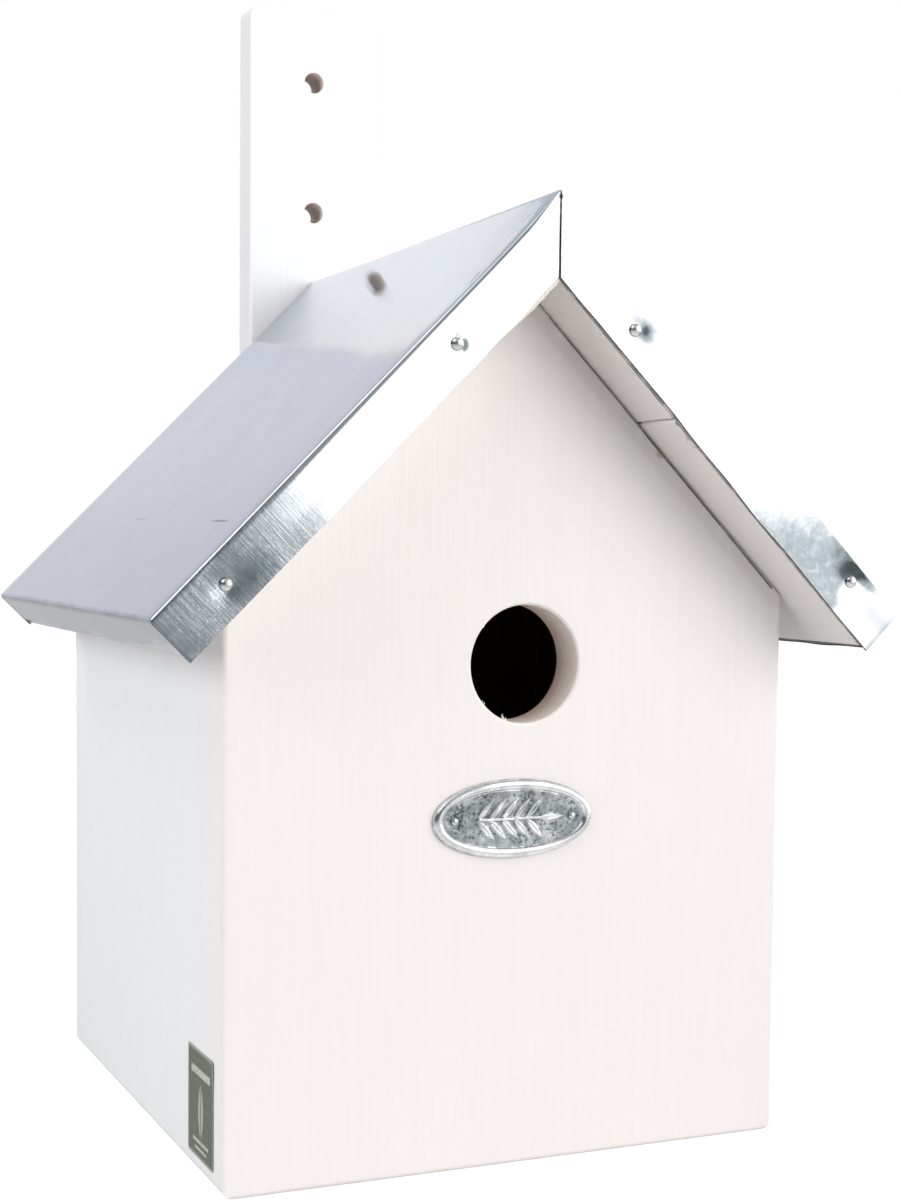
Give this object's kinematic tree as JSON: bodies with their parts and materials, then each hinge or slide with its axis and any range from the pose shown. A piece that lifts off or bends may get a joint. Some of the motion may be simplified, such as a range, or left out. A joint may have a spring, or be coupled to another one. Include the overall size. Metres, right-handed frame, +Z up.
{
  "type": "bird nest box",
  "caption": "Painted wooden bird nest box with a folded sheet-metal gable roof, a round entrance hole, an oval plate and a hanging board.",
  "frame": {"origin": "middle of the underside that the box stands on", "axes": "+X right seen from the front, +Y from the front wall to the back, +Z up"},
  "size_m": [0.2146, 0.1988, 0.3502],
  "materials": {
    "painted_wood": "matt off-white paint over planed softwood",
    "bare_wood": "unpainted softwood",
    "galvanised_sheet": "weathered galvanised sheet, satin",
    "galvanised_plate": "pressed galvanised plate, satin",
    "steel_nails": "zinc-coated, satin"
  },
  "bodies": {
    "root": {"front_wall": "painted_wood", "back_wall": "painted_wood", "left_side_wall": "painted_wood", "right_side_wall": "painted_wood", "floor_board": "bare_wood", "left_ridge_plank": "painted_wood", "left_eave_plank": "painted_wood", "right_ridge_plank": "painted_wood", "right_eave_plank": "painted_wood", "roof_sheet": "galvanised_sheet", "hanging_board": "painted_wood", "oval_plate": "galvanised_plate", "plate_pin_left": "steel_nails", "plate_pin_right": "steel_nails", "front_nail_left_low": "steel_nails", "front_nail_left_high": "steel_nails", "front_nail_right_high": "steel_nails", "front_nail_right_low": "steel_nails", "back_sheet_nails": "steel_nails", "front_wall_brads": "steel_nails", "back_wall_brads": "steel_nails", "side_wall_brads": "steel_nails", "roof_plank_nails": "steel_nails", "hanging_board_screws": "steel_nails"}
  },
  "joints": []
}
